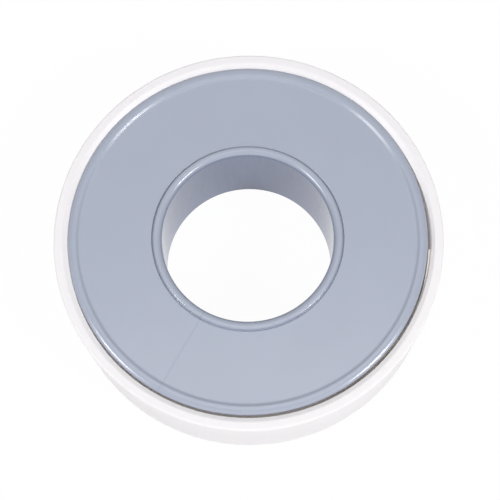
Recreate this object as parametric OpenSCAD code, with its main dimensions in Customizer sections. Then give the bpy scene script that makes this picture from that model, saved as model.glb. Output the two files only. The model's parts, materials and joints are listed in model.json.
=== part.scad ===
// Thread seal tape roll.
// A moulded spool carries the wound tape. Its hub snaps into a moulded shell and turns there,
// and the tape is drawn out through the narrow gap between the spool's flange and the shell's lip.
// The roll lies on its back with the flange up. The origin is on the shell's axis, where the flat
// back meets the table. All lengths are in millimetres and all angles in degrees.

/* [Tape] */
// Width of the tape, half an inch
tape_w = 12.7; // [9.5:0.1:19]
// Length of tape on a full spool, 260 inches
tape_len = 6604; // [3300:1:9900]
// Thickness of the tape
tape_t = 0.1; // [0.075:0.005:0.125]
// Azimuth of the cut end of the tape in the gap
end_angle = -6; // [-90:0.5:90]
// How far the cut end stands up into the gap, above the wound tape
end_rise = 1.0; // [0.5:0.1:1.4]
// How far the top of the cut end leans in from the wall, towards the flange
end_lean = 0.04; // [0:0.02:0.16]

/* [Spool] */
// Diameter of the bore through the spool
bore_d = 23.8; // [20:0.1:26]
// Wall of the neck that turns in the shell
neck_wall = 0.9; // [0.7:0.05:1.2]
// Width of the shoulder that stops the hub on the shell's floor
shoulder_w = 0.4; // [0.3:0.05:0.8]
// Diameter of the flange
flange_d = 49.8; // [47:0.1:60]
// Thickness of the flange's plate
flange_t = 1.0; // [0.8:0.1:1.6]
// Width of the raised rim round the flange's edge
rim_w = 1.3; // [1:0.1:2]
// Height of the rim above the flat face
rim_h = 0.25; // [0.15:0.05:0.4]
// Width of the ramp from the flat face up to the rim
ramp_w = 0.35; // [0.2:0.05:0.5]
// Rounding of the flange's outer edge
rim_round = 0.55; // [0.3:0.05:0.65]
// Width of the raised collar round the bore
collar_w = 1.3; // [1.1:0.1:2]
// Height of the collar above the flat face
collar_h = 0.4; // [0.3:0.05:0.6]
// Rounding of the collar's outer edge
collar_round = 0.25; // [0.1:0.05:0.28]
// Rounding of the collar's edge at the bore
bore_round = 0.6; // [0.2:0.05:0.7]

/* [Shell] */
// Gap between the flange's edge and the lip, where the tape comes out
lip_gap = 0.22; // [0.16:0.02:0.8]
// Width of the lip
lip_w = 1.85; // [1.4:0.05:2.5]
// Height of the lip above the flange's flat face
lip_h = 0.3; // [0.1:0.05:0.4]
// Width of the chamfer on the lip's inner edge
chamfer_w = 0.65; // [0.2:0.05:0.75]
// Height of that chamfer
chamfer_h = 0.45; // [0.2:0.05:0.75]
// Rounding of the lip's outer edge
lip_round = 0.35; // [0.2:0.05:0.6]
// Thickness of the floor
floor_t = 1.0; // [0.8:0.1:1.5]
// Draft of the outer wall, as radius lost from the lip to the back
wall_draft = 0.85; // [0.4:0.05:0.95]
// Draft of the inner wall, as radius lost from the lip to the floor
core_draft = 0.15; // [0.1:0.05:0.2]
// Rounding of the back edge
back_round = 0.8; // [0.4:0.1:1.2]
// Width of the recess round the snap bead, on the back
recess_w = 1.2; // [0.8:0.1:2]

/* [Fits] */
// Radial clearance of the neck in the shell's hole
neck_clearance = 0.3; // [0.25:0.05:0.35]
// Share of the tighter fit that the spool has shifted to one side
shift_share = 0.86; // [0.7:0.01:0.9]
// Azimuth that the spool has shifted to
shift_angle = 120; // [100:1:200]
// Axial play of the spool in the shell
axial_play = 0.1; // [0.05:0.05:0.2]
// Play at each edge of the wound tape
tape_play = 0.2; // [0.1:0.05:0.4]
// Play between the innermost turn of tape and the hub
wrap_play = 0.05; // [0.02:0.01:0.1]
// Clearance between the free end of the tape and what it passes
end_clearance = 0.1; // [0.08:0.01:0.12]
// How far the snap bead catches past the edge of the hole
bead_catch = 0.3; // [0.2:0.05:0.4]
// Height of the snap bead
bead_h = 0.45; // [0.35:0.05:0.8]
// Height of the hub's end above the table
hub_lift = 0.15; // [0.1:0.05:0.4]
// Chamfer of the bore's edge at the hub's end
end_chamfer = 0.2; // [0.1:0.05:0.3]
// Fillet between the hub and the flange, and round the shell's floor
inner_fillet = 0.6; // [0.3:0.1:0.8]

/* [Hidden] */

$fn = 96;
// Straight steps in a quarter-round of a profile
arc_steps = 6;
// Steps of the outer turn of tape, and of its free end
turn_steps = 90;
end_steps = 36;

// Spool, in radius
bore_r = bore_d / 2;
neck_r = bore_r + neck_wall;
hole_r = neck_r + neck_clearance;
hub_r = hole_r + shoulder_w;
bead_r = hole_r + bead_catch;
collar_r = bore_r + collar_w;
flange_r = flange_d / 2;
rim_r = flange_r - rim_w;
// The rounding under the flange's edge is a share of its plate
under_round_share = 0.3;
under_round = flange_t * under_round_share;
// The collar runs out into the flat face over the rest of its height
collar_fillet = collar_h - collar_round;
// The bead leads in over its lower share and catches on its upper share
lead_in_share = 0.6;
catch_share = 0.85;

// Heights, from the table up
bead_top_z = hub_lift + bead_h;
recess_z = bead_top_z + axial_play;
dish_z = recess_z + floor_t;
shoulder_z = dish_z + axial_play;
tape_z = shoulder_z + tape_play;
plate_z = tape_z + tape_w + tape_play;
face_z = plate_z + flange_t;
rim_z = face_z + rim_h;
collar_z = face_z + collar_h;
lip_z = face_z + lip_h;

// Shell, in radius
lip_r = flange_r + lip_gap;
shell_r = lip_r + lip_w;
back_r = shell_r - wall_draft;
floor_r = lip_r - core_draft;
recess_r = bead_r + recess_w;

// The spool has shifted aside, nearly as far as its neck and its flange let it
spool_shift = shift_share * min(neck_clearance, lip_gap) * [cos(shift_angle), sin(shift_angle)];

// Tape: the winding's section is the tape's length times its thickness
core_r = hub_r + wrap_play;
winding_r = sqrt(pow(core_r, 2) + tape_len * tape_t / PI);
// The free end leaves the winding, crosses to the shell's wall and lies along it
leave_gap = 0.3;
leave_turn = 90;
wall_turn = 22;
rise_turn = 34;
leave_angle = end_angle - leave_turn;
end_wall_r = floor_r - end_clearance;

// Points of an arc in a profile, by centre, radius and two angles
function arc(r, z, radius, from, to) =
    [for (i = [0:arc_steps]) let (a = from + (to - from) * i / arc_steps)
        [r + radius * cos(a), z + radius * sin(a)]];

// A smooth step from 0 to 1
function ease(t) = let (u = min(max(t, 0), 1)) u * u * (3 - 2 * u);

// Half section of the shell: back, recess, hole, dished floor, drafted wall and lip
function shell_profile() = concat(
    [[recess_r, 0], [recess_r, recess_z], [hole_r, recess_z], [hole_r, dish_z],
        [recess_r, dish_z], [recess_r + floor_t, floor_t]],
    arc(floor_r - inner_fillet, floor_t + inner_fillet, inner_fillet, -90, 0),
    [[lip_r, lip_z - chamfer_h], [lip_r + chamfer_w, lip_z]],
    arc(shell_r - lip_round, lip_z - lip_round, lip_round, 90, 0),
    arc(back_r - back_round, back_round, back_round, 0, -90));

// Half section of the spool: snap bead, neck, hub, flange, rim, face and collar
function spool_profile() = concat(
    [[bore_r, hub_lift + end_chamfer], [bore_r + end_chamfer, hub_lift], [neck_r, hub_lift],
        [bead_r, hub_lift + bead_h * lead_in_share], [bead_r, hub_lift + bead_h * catch_share],
        [neck_r, bead_top_z], [neck_r, shoulder_z], [hub_r, shoulder_z]],
    arc(hub_r + inner_fillet, plate_z - inner_fillet, inner_fillet, 180, 90),
    arc(flange_r - under_round, plate_z + under_round, under_round, -90, 0),
    arc(flange_r - rim_round, rim_z - rim_round, rim_round, 0, 90),
    [[rim_r + ramp_w / 2, rim_z], [rim_r - ramp_w / 2, face_z]],
    arc(collar_r + collar_fillet, face_z + collar_fillet, collar_fillet, -90, -180),
    arc(collar_r - collar_round, collar_z - collar_round, collar_round, 0, 90),
    arc(bore_r + bore_round, collar_z - bore_round, bore_round, 90, 180));

// Outline of the winding: the outer turn climbs by one thickness to its end
function winding_outline() =
    [for (i = [0:turn_steps]) let (share = i / turn_steps, a = leave_angle + 360 * share)
        (winding_r - tape_t * (1 - share)) * [cos(a), sin(a)]];

// One section of the free end, at a share of its way: inner and outer foot, outer and inner top
function end_section(share) =
    let (turn = leave_turn * share,
         a = leave_angle + turn,
         to_end = leave_turn - turn,
         start_r = winding_r + leave_gap,
         out = ease(turn / (leave_turn - wall_turn)),
         up = ease(1 - to_end / rise_turn),
         outer = start_r + tape_t + (end_wall_r - start_r - tape_t) * out,
         inner = outer - tape_t,
         foot_z = tape_z + end_rise * up,
         top_z = foot_z + tape_w,
         lean = end_lean * up - core_draft * out)
    [[inner * cos(a), inner * sin(a), foot_z],
     [outer * cos(a), outer * sin(a), foot_z],
     [(outer - lean) * cos(a), (outer - lean) * sin(a), top_z],
     [(inner - lean) * cos(a), (inner - lean) * sin(a), top_z]];

// Two triangles of a four-sided sleeve, between section i and the next, on side j
function sleeve_faces(i, j) =
    let (k = (j + 1) % 4, a = 4 * i + j, b = 4 * i + k, c = 4 * (i + 1) + k, d = 4 * (i + 1) + j)
    [[a, b, c], [a, c, d]];

module shell() {
    color("whitesmoke")
        rotate_extrude()
            polygon(shell_profile());
}

module spool() {
    color([0.69, 0.73, 0.78])
        translate(spool_shift)
            rotate_extrude()
                polygon(spool_profile());
}

module tape_winding() {
    color("white")
        translate([spool_shift.x, spool_shift.y, tape_z])
            linear_extrude(tape_w)
                difference() {
                    polygon(winding_outline());
                    circle(core_r);
                }
}

module tape_end() {
    last = 4 * end_steps;
    sections = [for (i = [0:end_steps]) each end_section(i / end_steps)];
    sides = [for (i = [0:end_steps - 1], j = [0:3]) each sleeve_faces(i, j)];
    caps = [[0, 2, 1], [0, 3, 2], [last, last + 1, last + 2], [last, last + 2, last + 3]];
    color("linen")
        polyhedron(sections, concat(sides, caps));
}

shell();
spool();
tape_winding();
tape_end();
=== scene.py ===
import json
import math

import bpy
from mathutils import Matrix, Vector, noise


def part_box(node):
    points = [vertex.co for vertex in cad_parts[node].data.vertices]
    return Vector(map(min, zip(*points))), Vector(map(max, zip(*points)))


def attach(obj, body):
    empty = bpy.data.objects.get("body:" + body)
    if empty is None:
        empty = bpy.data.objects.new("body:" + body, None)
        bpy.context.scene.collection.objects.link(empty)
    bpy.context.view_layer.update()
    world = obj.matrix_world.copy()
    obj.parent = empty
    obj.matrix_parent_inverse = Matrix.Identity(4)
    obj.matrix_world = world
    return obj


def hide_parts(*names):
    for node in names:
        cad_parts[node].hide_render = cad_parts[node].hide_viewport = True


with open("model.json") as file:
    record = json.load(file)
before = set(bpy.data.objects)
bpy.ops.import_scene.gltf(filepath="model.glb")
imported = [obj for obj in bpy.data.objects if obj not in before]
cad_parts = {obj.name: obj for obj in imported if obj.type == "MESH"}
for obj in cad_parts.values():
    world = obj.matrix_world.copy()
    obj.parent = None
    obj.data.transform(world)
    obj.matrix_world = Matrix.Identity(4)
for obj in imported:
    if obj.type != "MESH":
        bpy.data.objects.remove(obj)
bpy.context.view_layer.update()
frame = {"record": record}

# Spool: one moulding with a flat flange, a raised rim at its edge, a collar round the bore, and a
# hub that runs right through the roll to a snap bead. It is high-impact polystyrene, injection
# moulded in a blue-grey colour.
mm = 0.001
spool_low, spool_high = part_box("spool")
spool_axis = Vector(((spool_low.x + spool_high.x) / 2, (spool_low.y + spool_high.y) / 2, 0))
flange_r = (spool_high.x - spool_low.x) / 2
bore_r = frame["record"]["mounts"][0]["dims"]["r_mm"] * mm
crest_z = spool_high.z
hub_z = spool_low.z

# Collar round the bore, with a fine groove at its foot
collar_h = 0.4 * mm
collar_w = 1.24 * mm
collar_fall = 0.04 * mm
bore_round = 0.75 * mm
collar_round = 0.26 * mm
groove_w = 0.24 * mm
groove_d = 0.2 * mm
groove_foot_round = 0.04 * mm
groove_top_round = 0.12 * mm
face_z = crest_z - collar_h
collar_r = bore_r + collar_w

# Flange, with a ramp up to its rim and a rounded nose at its edge
flange_t = 1.0 * mm
rim_w = 1.3 * mm
rim_h = 0.25 * mm
ramp_w = 0.35 * mm
ramp_foot_round = 0.5 * mm
ramp_top_round = 0.4 * mm
nose_w = 0.45 * mm
nose_fall = 0.3 * mm
nose_round = 1.2 * mm
edge_round = 0.2 * mm
under_round = 0.3 * mm
flange_under_z = face_z - flange_t
rim_r = flange_r - rim_w
rim_z = face_z + rim_h
nose_r = flange_r - nose_w

# Hub, with a shoulder that stops it on the shell, and a snap bead at the end of its neck
neck_wall = 0.9 * mm
neck_h = 1.65 * mm
shoulder_w = 0.7 * mm
shoulder_round = 0.08 * mm
hub_fillet = 0.6 * mm
bead_w = 0.6 * mm
bead_h = 0.45 * mm
catch_fall = 0.07 * mm
lead_fall = 0.18 * mm
bead_round = 0.02 * mm
tip_round = 0.05 * mm
end_round = 0.2 * mm
neck_r = bore_r + neck_wall
bead_r = neck_r + bead_w
bead_z = hub_z + bead_h
hub_r = neck_r + shoulder_w
shoulder_z = hub_z + neck_h


def rounded(corners, arc_steps=8, strip=0.02 * mm):
    """Points of a closed profile from corners of (radius, height, rounding). A rounding of 0 is one
    point. A narrow flat strip beside each arc keeps the shading of the long flat stretches even."""
    points = []
    for i, (r, z, rounding) in enumerate(corners):
        corner = Vector((r, z))
        if rounding == 0:
            points.append(corner)
            continue
        back = (Vector(corners[i - 1][:2]) - corner).normalized()
        ahead = (Vector(corners[(i + 1) % len(corners)][:2]) - corner).normalized()
        half_angle = back.angle(ahead) / 2
        run = rounding / math.tan(half_angle)
        centre = corner + (back + ahead).normalized() * rounding / math.sin(half_angle)
        start = corner + back * run
        end = corner + ahead * run
        points.append(start + back * strip)
        for step in range(arc_steps + 1):
            spoke = start.lerp(end, step / arc_steps) - centre
            points.append(centre + spoke.normalized() * rounding)
        points.append(end + ahead * strip)
    return points


def add_mesh(name, points, faces):
    """A smooth-shaded mesh object in the scene."""
    mesh = bpy.data.meshes.new(name)
    mesh.from_pydata(points, [], faces)
    mesh.shade_smooth()
    piece = bpy.data.objects.new(name, mesh)
    bpy.context.scene.collection.objects.link(piece)
    return piece


def revolve(name, profile, axis, segments=384):
    """A closed body of revolution about the upright axis at that point. The profile runs clockwise."""
    points = []
    faces = []
    count = len(profile)
    for i in range(segments):
        turn = 2 * math.pi * i / segments
        points += [(axis.x + p.x * math.cos(turn), axis.y + p.x * math.sin(turn), p.y) for p in profile]
        here = i * count
        there = (i + 1) % segments * count
        faces += [(here + j, here + (j + 1) % count, there + (j + 1) % count, there + j)
                  for j in range(count)]
    return add_mesh(name, points, faces)


spool = revolve("spool_moulding", rounded([
    (bore_r, crest_z, bore_round),
    (collar_r, crest_z - collar_fall, collar_round),
    (collar_r, face_z - groove_d, groove_foot_round),
    (collar_r + groove_w, face_z, groove_top_round),
    (rim_r - ramp_w / 2, face_z, ramp_foot_round),
    (rim_r + ramp_w / 2, rim_z, ramp_top_round),
    (nose_r, rim_z, nose_round),
    (flange_r, rim_z - nose_fall, edge_round),
    (flange_r, flange_under_z, under_round),
    (hub_r, flange_under_z, hub_fillet),
    (hub_r, shoulder_z, shoulder_round),
    (neck_r, shoulder_z, shoulder_round),
    (neck_r, bead_z, bead_round),
    (bead_r, bead_z - catch_fall, bead_round),
    (bead_r, bead_z - lead_fall, bead_round),
    (neck_r, hub_z, tip_round),
    (bore_r, hub_z, end_round),
]), spool_axis)


def linear(colour):
    """Linear RGBA from an sRGB hex value."""
    channels = [int(colour[i:i + 2], 16) / 255 for i in (1, 3, 5)]
    return [c / 12.92 if c <= 0.04045 else ((c + 0.055) / 1.055) ** 2.4 for c in channels] + [1.0]


def add_node(tree, kind, inputs=None, **settings):
    """A node of that kind with its settings. Each input takes a value, or a socket to link from."""
    node = tree.nodes.new(kind)
    for name, value in settings.items():
        setattr(node, name, value)
    for socket, value in (inputs or {}).items():
        if isinstance(value, bpy.types.NodeSocket):
            tree.links.new(value, node.inputs[socket])
        else:
            node.inputs[socket].default_value = value
    return node


def add_material(name):
    """An empty node material, and its tree."""
    material = bpy.data.materials.new(name)
    material.use_nodes = True
    material.node_tree.nodes.clear()
    return material, material.node_tree


# Moulded polystyrene: a satin skin with wide soft highlights, slow drifts of tone where the melt
# flowed, and a fine etched grain, drawn coarser than the real one so that it shows. A faint crease
# marks the weld, where the melt met round the bore. The bore was polished by its core, so it is
# glossier, and its colour there is painted darker and bluer as the shade deep inside it, with faint
# drag marks along it.
drift_size = 9 * mm
grain_size = 0.3 * mm
grain_depth = 0.01 * mm
weld_angle = math.radians(-122)
weld_w = 0.25 * mm
weld_depth = 0.02 * mm
# Share of painted shade drawn along the weld's crease.
weld_shade_share = 0.3
drag_w = 0.6 * mm
drag_len = 5 * mm
bore_edge_w = 0.12 * mm
polystyrene, tree = add_material("moulded_polystyrene")
place = add_node(tree, "ShaderNodeTexCoord").outputs["Object"]
drift = add_node(tree, "ShaderNodeTexNoise", {"Vector": place, "Scale": 1 / drift_size, "Detail": 2.0})
grain = add_node(tree, "ShaderNodeTexNoise", {"Vector": place, "Scale": 1 / grain_size, "Detail": 1.0})
tone = add_node(tree, "ShaderNodeMix", {
    "Factor": drift.outputs["Fac"], "A": linear("#A0A7B7"), "B": linear("#A5ACBC")}, data_type="RGBA")
etch = add_node(tree, "ShaderNodeBump", {
    "Height": grain.outputs["Fac"], "Strength": 0.15, "Distance": grain_depth})
from_axis = add_node(tree, "ShaderNodeVectorMath", {
    0: place, 1: spool_axis}, operation="SUBTRACT")
flat = add_node(tree, "ShaderNodeVectorMath", {
    0: from_axis.outputs["Vector"], 1: (1, 1, 0)}, operation="MULTIPLY")
radius = add_node(tree, "ShaderNodeVectorMath", {0: flat.outputs["Vector"]}, operation="LENGTH")
along = add_node(tree, "ShaderNodeVectorMath", {
    0: flat.outputs["Vector"], 1: (math.cos(weld_angle), math.sin(weld_angle), 0)},
    operation="DOT_PRODUCT")
across = add_node(tree, "ShaderNodeVectorMath", {
    0: flat.outputs["Vector"], 1: (-math.sin(weld_angle), math.cos(weld_angle), 0)},
    operation="DOT_PRODUCT")
off_line = add_node(tree, "ShaderNodeMath", {0: across.outputs["Value"]}, operation="ABSOLUTE")
on_line = add_node(tree, "ShaderNodeMapRange", {
    "Value": off_line.outputs[0], "From Min": weld_w, "From Max": 0.0})
past_bore = add_node(tree, "ShaderNodeMath", {
    0: along.outputs["Value"], 1: bore_r}, operation="GREATER_THAN")
weld = add_node(tree, "ShaderNodeMath", {
    0: on_line.outputs["Result"], 1: past_bore.outputs[0]}, operation="MULTIPLY")
crease = add_node(tree, "ShaderNodeBump", {
    "Height": weld.outputs[0], "Strength": 0.2, "Distance": weld_depth,
    "Normal": etch.outputs["Normal"]}, invert=True)
# Painted shade: along the weld's crease the colour is also drawn darker.
painted_weld_shade = add_node(tree, "ShaderNodeMath", {0: weld.outputs[0], 1: weld_shade_share}, operation="MULTIPLY")
tone = add_node(tree, "ShaderNodeMix", {
    "Factor": painted_weld_shade.outputs[0], "A": tone.outputs["Result"], "B": linear("#8B93A5")}, data_type="RGBA")
drag = add_node(tree, "ShaderNodeMapping", {
    "Vector": place, "Scale": (1 / drag_w, 1 / drag_w, 1 / drag_len)})
drag_marks = add_node(tree, "ShaderNodeTexNoise", {
    "Vector": drag.outputs["Vector"], "Scale": 1.0, "Detail": 3.0})
# Painted shade: inside the bore the colour is drawn darker and bluer than the face, for the shade and
# bluish reflections deep in it, streaked by the drag marks.
painted_bore_shade = add_node(tree, "ShaderNodeMix", {
    "Factor": drag_marks.outputs["Fac"], "A": linear("#677496"), "B": linear("#7380A2")},
    data_type="RGBA")
# The painted bore shade reaches a little way up the rounding at the bore's mouth; the same mask makes
# the bore glossier.
in_bore = add_node(tree, "ShaderNodeMapRange", {
    "Value": radius.outputs["Value"], "From Min": bore_r + bore_edge_w, "From Max": bore_r})
tone = add_node(tree, "ShaderNodeMix", {
    "Factor": in_bore.outputs["Result"], "A": tone.outputs["Result"], "B": painted_bore_shade.outputs["Result"]},
    data_type="RGBA")
satin = add_node(tree, "ShaderNodeMapRange", {
    "Value": grain.outputs["Fac"], "To Min": 0.17, "To Max": 0.25})
polish = add_node(tree, "ShaderNodeMix", {
    "Factor": in_bore.outputs["Result"], "A": satin.outputs["Result"], "B": 0.1})
skin = add_node(tree, "ShaderNodeBsdfPrincipled", {
    "Base Color": tone.outputs["Result"], "Roughness": polish.outputs["Result"], "IOR": 1.59,
    "Normal": crease.outputs["Normal"]})
add_node(tree, "ShaderNodeOutputMaterial", {"Surface": skin.outputs["BSDF"]})
spool.data.materials.append(polystyrene)
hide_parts("spool")
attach(spool, "spool")

# Tape winding: half-inch film, wound turn on turn round the hub without glue. It is unsintered
# fluoropolymer, calendered thin, and each turn's edge wanders a little as it was laid. The turns are
# drawn a little thinner than they are, so that each stays clear of the next.
winding_low, winding_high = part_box("tape_winding")
tape_z = winding_low.z
tape_w = winding_high.z - winding_low.z
winding_r = (winding_high.x - winding_low.x) / 2
tape_t = 0.1 * mm
turn_t = 0.09 * mm
wrap_play = 0.05 * mm
core_r = hub_r + wrap_play
leave_angle = math.radians(-96)
edge_wander = 0.07 * mm
wanders_per_turn = 0.7
turn_steps = 72


def ribbon(name, stations, thickness):
    """A closed strip of film. Each station is a row of points across it, with the way to its face."""
    points = []
    faces = []
    rows = len(stations[0])
    ring = 2 * rows
    for station in stations:
        points += [p - n * thickness / 2 for p, n in station]
        points += [p + n * thickness / 2 for p, n in reversed(station)]
    for i in range(len(stations) - 1):
        faces += [(i * ring + j, i * ring + (j + 1) % ring,
                   (i + 1) * ring + (j + 1) % ring, (i + 1) * ring + j) for j in range(ring)]
    last = (len(stations) - 1) * ring
    for j in range(rows - 1):
        faces.append((j, ring - 1 - j, ring - 2 - j, j + 1))
        faces.append((last + j, last + j + 1, last + ring - 2 - j, last + ring - 1 - j))
    return add_mesh(name, points, faces)


turns = int((winding_r - core_r) / tape_t)
stations = []
for i in range(turns * turn_steps + 1):
    turn_back = turns - i / turn_steps
    angle = leave_angle - 2 * math.pi * turn_back
    out = Vector((math.cos(angle), math.sin(angle), 0))
    r = winding_r - tape_t * (turn_back + 0.5)
    wander = edge_wander * noise.noise(Vector((turn_back * wanders_per_turn, 0, 0)))
    foot = spool_axis + Vector((0, 0, tape_z + wander)) + out * r
    stations.append([(foot, out), (foot + Vector((0, 0, tape_w)), out)])
winding = ribbon("tape_winding_film", stations, turn_t)

# Unsintered film: white, matt and waxy, with faint streaks along it from the rolls.
streak_len = 1.2 * mm
streak_w = 0.1 * mm
streak_depth = 0.02 * mm
film, tree = add_material("unsintered_fluoropolymer_film")
place = add_node(tree, "ShaderNodeTexCoord").outputs["Object"]
stretch = add_node(tree, "ShaderNodeMapping", {
    "Vector": place, "Scale": (1 / streak_len, 1 / streak_len, 1 / streak_w)})
streaks = add_node(tree, "ShaderNodeTexNoise", {
    "Vector": stretch.outputs["Vector"], "Scale": 1.0, "Detail": 3.0})
tone = add_node(tree, "ShaderNodeMix", {
    "Factor": streaks.outputs["Fac"], "A": linear("#E6E2DA"), "B": linear("#F4F1EA")}, data_type="RGBA")
roll_marks = add_node(tree, "ShaderNodeBump", {
    "Height": streaks.outputs["Fac"], "Strength": 0.3, "Distance": streak_depth})
wax = add_node(tree, "ShaderNodeBsdfPrincipled", {
    "Base Color": tone.outputs["Result"], "Roughness": 0.6, "IOR": 1.38,
    "Subsurface Weight": 0.3, "Subsurface Radius": (0.4 * mm, 0.35 * mm, 0.3 * mm),
    "Subsurface Scale": 1.0, "Normal": roll_marks.outputs["Normal"]})
add_node(tree, "ShaderNodeOutputMaterial", {"Surface": wax.outputs["BSDF"]})
winding.data.materials.append(film)
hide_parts("tape_winding")
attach(winding, "spool")

# Tape end: the last stretch of the same film. It leaves the winding, crosses to the shell's wall and
# runs along it. It stands up in the gap at the lip, where it was cut square. There its top edge curls
# in from the lip, which bulges a little round it.
end_top_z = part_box("tape_end")[1].z
end_rise = end_top_z - tape_z - tape_w
end_turn = math.radians(90)
wall_turn = math.radians(22)
rise_turn = math.radians(34)
leave_gap = 0.35 * mm
start_r = winding_r + leave_gap
wall_r = 24.91 * mm
wall_lean = 0.14 * mm
curl = 0.34 * mm
curl_turn = math.radians(26)
curl_h = 0.7 * mm
bulge = 0.25 * mm
bulge_h = 0.8 * mm
bulge_angle = math.radians(0)
bulge_half = math.radians(32)
end_steps = 120
end_rows = 40


def ease(share):
    """A smooth step from 0 to 1."""
    share = min(max(share, 0), 1)
    return share * share * (3 - 2 * share)


def bulge_at(angle):
    """How far the lip stands out at that azimuth, where the tape's end presses on it."""
    off = abs(math.remainder(angle - bulge_angle, 2 * math.pi))
    return bulge * ease(1 - off / bulge_half)


stations = []
for i in range(end_steps + 1):
    turn = end_turn * i / end_steps
    angle = leave_angle + turn
    out = Vector((math.cos(angle), math.sin(angle), 0))
    r = start_r + (wall_r - start_r) * ease(turn / (end_turn - wall_turn))
    lift = end_rise * ease(1 - (end_turn - turn) / rise_turn)
    curled = curl * ease(1 - (end_turn - turn) / curl_turn)
    pushed = bulge_at(angle)
    station = []
    for j in range(end_rows + 1):
        # The rows lie closer together towards the top edge, where the film bends most
        up = 1 - (1 - j / end_rows) ** 2
        below_top = tape_w * (1 - up)
        lean = wall_lean * up + pushed * max(1 - below_top / bulge_h, 0)
        lean -= curled * max(1 - below_top / curl_h, 0) ** 2
        station.append((out * (r + lean) + Vector((0, 0, tape_z + lift + tape_w * up)), out))
    stations.append(station)
tape_end = ribbon("tape_end_film", stations, tape_t)
tape_end.data.materials.append(film)
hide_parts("tape_end")
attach(tape_end, "shell")

# Shell: a shallow cup that the spool snaps into. It has a drafted wall, a lip with a chamfered
# mouth, a flat back, and a dished centre with a hole for the hub. White polypropylene, moulded.
shell_low, shell_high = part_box("shell")
shell_axis = Vector((0, 0, 0))
shell_r = (shell_high.x - shell_low.x) / 2
lip_z = shell_high.z
lip_w = 1.85 * mm
lip_round = 0.25 * mm
chamfer_w = 0.65 * mm
chamfer_h = 0.45 * mm
chamfer_round = 0.4 * mm
wall_top_round = 0.15 * mm
outer_draft = 0.85 * mm
inner_draft = 0.15 * mm
back_round = 0.8 * mm
floor_t = 1.0 * mm
floor_fillet = 0.6 * mm
hole_clearance = 0.3 * mm
hole_round = 0.06 * mm
recess_w = 1.2 * mm
bead_play = 0.1 * mm
dish_round = 0.1 * mm
lip_r = shell_r - lip_w
mouth_r = lip_r + chamfer_w
back_r = shell_r - outer_draft
floor_r = lip_r - inner_draft
hole_r = neck_r + hole_clearance
recess_r = bead_r + recess_w
recess_z = bead_z + bead_play
dish_z = recess_z + floor_t
wall_top_z = lip_z - chamfer_h
bend_z = wall_top_z - bulge_h
bend_r = floor_r + (lip_r - floor_r) * (bend_z - floor_t) / (wall_top_z - floor_t)
shell = revolve("shell_moulding", rounded([
    (mouth_r, lip_z, chamfer_round),
    (shell_r, lip_z, lip_round),
    (back_r, 0, back_round),
    (recess_r, 0, dish_round),
    (recess_r, recess_z, hole_round),
    (hole_r, recess_z, hole_round),
    (hole_r, dish_z, hole_round),
    (recess_r, dish_z, dish_round),
    (recess_r + floor_t, floor_t, dish_round),
    (floor_r, floor_t, floor_fillet),
    (bend_r, bend_z, 0),
    (lip_r, wall_top_z, wall_top_round),
]), shell_axis)

# The cup drew in a little round its far side as it cooled, so the gap nearly closes there, and it
# stands out where the tape's end presses on it. Only the lip's inner edge, above the bend, moves.
warp_angle = math.radians(108)
warp_half = math.radians(115)
warp_fade = math.radians(40)
gap_left = 0.04 * mm
for vertex in shell.data.vertices:
    p = vertex.co
    r = math.hypot(p.x, p.y)
    if r > mouth_r or p.z < (bend_z + wall_top_z) / 2:
        continue
    out = Vector((p.x / r, p.y / r, 0))
    angle = math.atan2(p.y, p.x)
    flange_at = out.dot(spool_axis) + flange_r
    off_warp = abs(math.remainder(angle - warp_angle, 2 * math.pi))
    draw = max(lip_r - flange_at - gap_left, 0) * ease((warp_half - off_warp) / warp_fade)
    draw -= bulge_at(angle)
    vertex.co = p - out * draw * min((mouth_r - r) / chamfer_w, 1)

# Moulded polypropylene: white and milky, with a soft sheen. Some light comes through the thin wall,
# a little warmer than it went in, so the gap at the lip is brown-grey and not black.
ripple_size = 12 * mm
ripple_depth = 0.05 * mm
light_through = 0.25
polypropylene, tree = add_material("moulded_polypropylene")
place = add_node(tree, "ShaderNodeTexCoord").outputs["Object"]
drift = add_node(tree, "ShaderNodeTexNoise", {"Vector": place, "Scale": 1 / ripple_size, "Detail": 2.0})
tone = add_node(tree, "ShaderNodeMix", {
    "Factor": drift.outputs["Fac"], "A": linear("#FBFAFE"), "B": linear("#FDFCFF")}, data_type="RGBA")
ripple = add_node(tree, "ShaderNodeBump", {
    "Height": drift.outputs["Fac"], "Strength": 0.1, "Distance": ripple_depth})
sheen = add_node(tree, "ShaderNodeBsdfPrincipled", {
    "Base Color": tone.outputs["Result"], "Roughness": 0.4, "IOR": 1.49,
    "Normal": ripple.outputs["Normal"]})
glow = add_node(tree, "ShaderNodeBsdfTranslucent", {"Color": linear("#FFFAF4")})
milky = add_node(tree, "ShaderNodeMixShader", {
    0: light_through, 1: sheen.outputs[0], 2: glow.outputs[0]})
add_node(tree, "ShaderNodeOutputMaterial", {"Surface": milky.outputs[0]})
shell.data.materials.append(polypropylene)
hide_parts("shell")
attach(shell, "shell")

# Floor and surroundings: a plain white table in a white room, so that the roll stands on white with
# only its own soft shadow. Reflections see that white in part, and keep some of the real shade.
floor_half = 1.5
floor = add_mesh("floor", [
    (-floor_half, -floor_half, 0), (floor_half, -floor_half, 0),
    (floor_half, floor_half, 0), (-floor_half, floor_half, 0)], [(0, 1, 2, 3)])


def seen_white(tree, mirror_share):
    """How white a ray finds its surroundings: wholly from the camera or through a clear piece, and
    by that share in a reflection."""
    path = add_node(tree, "ShaderNodeLightPath")
    mirrored = add_node(tree, "ShaderNodeMath", {
        0: path.outputs["Is Glossy Ray"], 1: mirror_share}, operation="MULTIPLY")
    direct = add_node(tree, "ShaderNodeMath", {
        0: path.outputs["Is Camera Ray"], 1: mirrored.outputs[0]}, operation="ADD")
    seen = add_node(tree, "ShaderNodeMath", {
        0: direct.outputs[0], 1: path.outputs["Is Transmission Ray"]}, operation="ADD", use_clamp=True)
    return seen.outputs[0]


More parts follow.
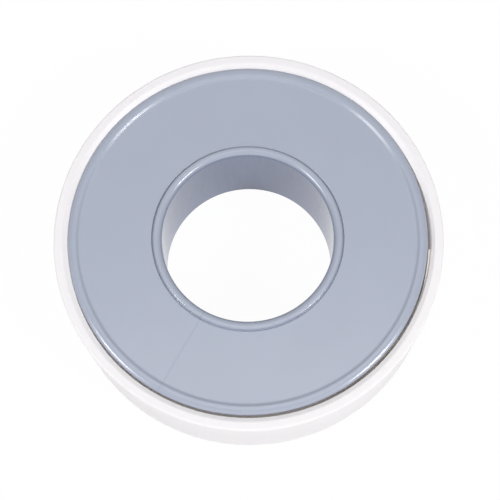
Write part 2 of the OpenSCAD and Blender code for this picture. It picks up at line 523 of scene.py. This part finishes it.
# White paper: matt, and as white as the room but for a faint shade that the roll leaves on it.
paper_white_share = 0.97
paper_mirror_share = 0.75
paper, tree = add_material("white_paper")
share = add_node(tree, "ShaderNodeMath", {
    0: seen_white(tree, paper_mirror_share), 1: paper_white_share}, operation="MULTIPLY")
matt = add_node(tree, "ShaderNodeBsdfDiffuse", {"Color": linear("#FCFCFC")})
bright = add_node(tree, "ShaderNodeEmission", {"Color": linear("#FFFFFF"), "Strength": 1.0})
both = add_node(tree, "ShaderNodeMixShader", {
    0: share.outputs[0], 1: matt.outputs[0], 2: bright.outputs[0]})
add_node(tree, "ShaderNodeOutputMaterial", {"Surface": both.outputs[0]})
floor.data.materials.append(paper)

# The room looks white, but lights the roll at about a fifth of that.
room_mirror_share = 0.6
room_light = 0.22
world = bpy.data.worlds.new("white_room")
world.use_nodes = True
tree = world.node_tree
tree.nodes.clear()
room = add_node(tree, "ShaderNodeBackground", {"Color": linear("#FFFFFF"), "Strength": room_light})
white = add_node(tree, "ShaderNodeBackground", {"Color": linear("#FFFFFF"), "Strength": 1.0})
both = add_node(tree, "ShaderNodeMixShader", {
    0: seen_white(tree, room_mirror_share), 1: room.outputs[0], 2: white.outputs[0]})
add_node(tree, "ShaderNodeOutputWorld", {"Surface": both.outputs[0]})
bpy.context.scene.world = world

# Lamps: soft boxes overhead, behind, in front and at both sides, as in a small product studio. The
# two small side boxes make the bright spots on the rim and the collar.
lamp_distance = 0.8
middle = Vector((0, 0, crest_z))


def soft_box(name, azimuth, elevation, width, power):
    """A square area lamp that faces the roll from that azimuth and elevation, in degrees. Its width is
    in metres and its power in watts."""
    lamp = bpy.data.lights.new(name, "AREA")
    lamp.size = width
    lamp.energy = power
    box = bpy.data.objects.new(name, lamp)
    a = math.radians(azimuth)
    e = math.radians(elevation)
    away = Vector((math.cos(a) * math.cos(e), math.sin(a) * math.cos(e), math.sin(e)))
    box.location = middle + away * lamp_distance
    box.rotation_euler = away.to_track_quat("Z", "Y").to_euler()
    bpy.context.scene.collection.objects.link(box)


soft_box("top_box", azimuth=90, elevation=88, width=0.3, power=0.49)
soft_box("back_box", azimuth=90, elevation=55, width=1.0, power=0.9)
soft_box("front_box", azimuth=-93, elevation=25, width=0.75, power=1.31)
soft_box("right_box", azimuth=-33, elevation=46, width=0.2, power=3.1)
soft_box("left_box", azimuth=202, elevation=46, width=0.2, power=2.5)

# Camera: above the roll and a little to its near side, turned a few degrees, as the roll was shot.
# Its aim puts the middle of the collar's top where the photograph has it.
photo_px = 500
focal_px = 1984
collar_px = (247.68, 236.65)
tilt = math.radians(16.13)
twist = math.radians(2.63)
camera_distance = 273.9 * mm
collar = spool_axis + Vector((0, 0, crest_z))
ahead = Vector((0, math.sin(tilt), -math.cos(tilt)))
level = Vector((1, 0, 0))
upright = level.cross(ahead)
right = level * math.cos(twist) - upright * math.sin(twist)
top = level * math.sin(twist) + upright * math.cos(twist)
eye = collar - ahead * camera_distance
px = camera_distance / focal_px
aim = collar + right * (photo_px / 2 - collar_px[0]) * px - top * (photo_px / 2 - collar_px[1]) * px
look = (aim - eye).normalized()
right = look.cross(top).normalized()
lens = bpy.data.cameras.new("camera")
lens.sensor_width = 36
lens.lens = focal_px / photo_px * lens.sensor_width
lens.clip_start = 0.01
camera = bpy.data.objects.new("camera", lens)
camera.matrix_world = Matrix.Translation(eye) @ Matrix(
    (right, right.cross(look), -look)).transposed().to_4x4()
bpy.context.scene.collection.objects.link(camera)
bpy.context.scene.camera = camera
bpy.context.scene.view_settings.view_transform = "Standard"
